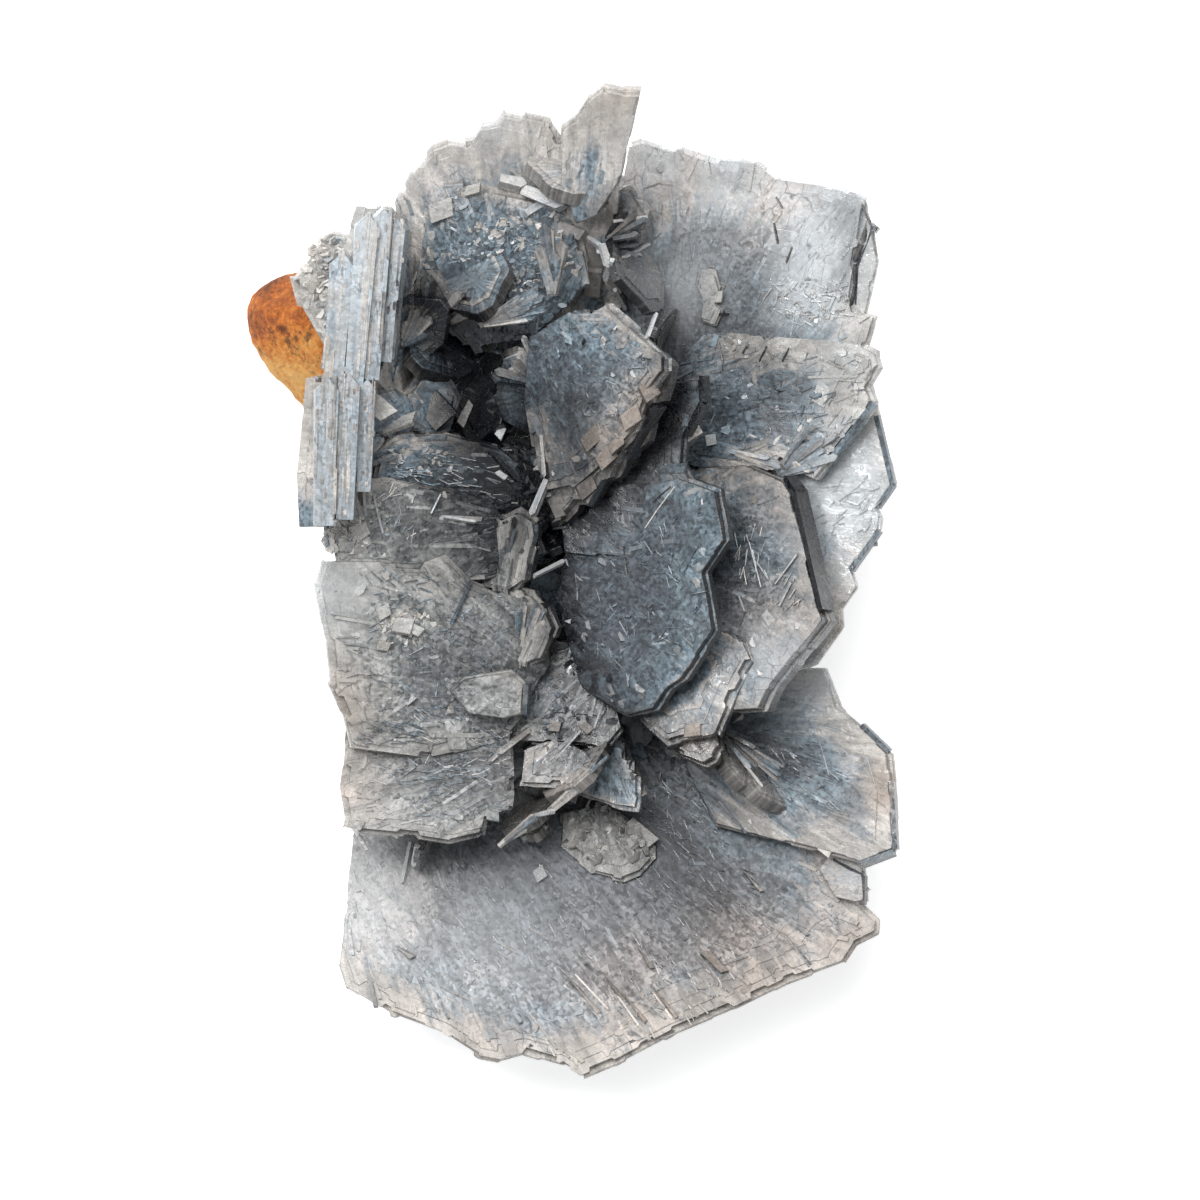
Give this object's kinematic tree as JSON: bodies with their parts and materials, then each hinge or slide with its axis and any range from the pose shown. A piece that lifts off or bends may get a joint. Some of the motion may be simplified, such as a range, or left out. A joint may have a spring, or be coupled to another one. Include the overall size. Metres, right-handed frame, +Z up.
{
  "type": "barite crystal specimen",
  "caption": "Rosette of thin, blue-grey tabular barite blades with pale translucent rims, grown on a lump of orange iron-stained host rock, lying on its broken base.",
  "frame": {"origin": "middle of the bounding box, on the resting plane", "axes": "+Y along the specimen's longest way, +Z up out of the rosette, -Z out of the broken base that it rests on"},
  "size_m": [0.0648, 0.0976, 0.0312],
  "materials": {
    "barite": "glassy crystal faces, translucent",
    "limonite_rock": "dull and earthy"
  },
  "bodies": {
    "root": {"crystal_cluster": "barite", "host_rock": "limonite_rock"}
  },
  "joints": []
}
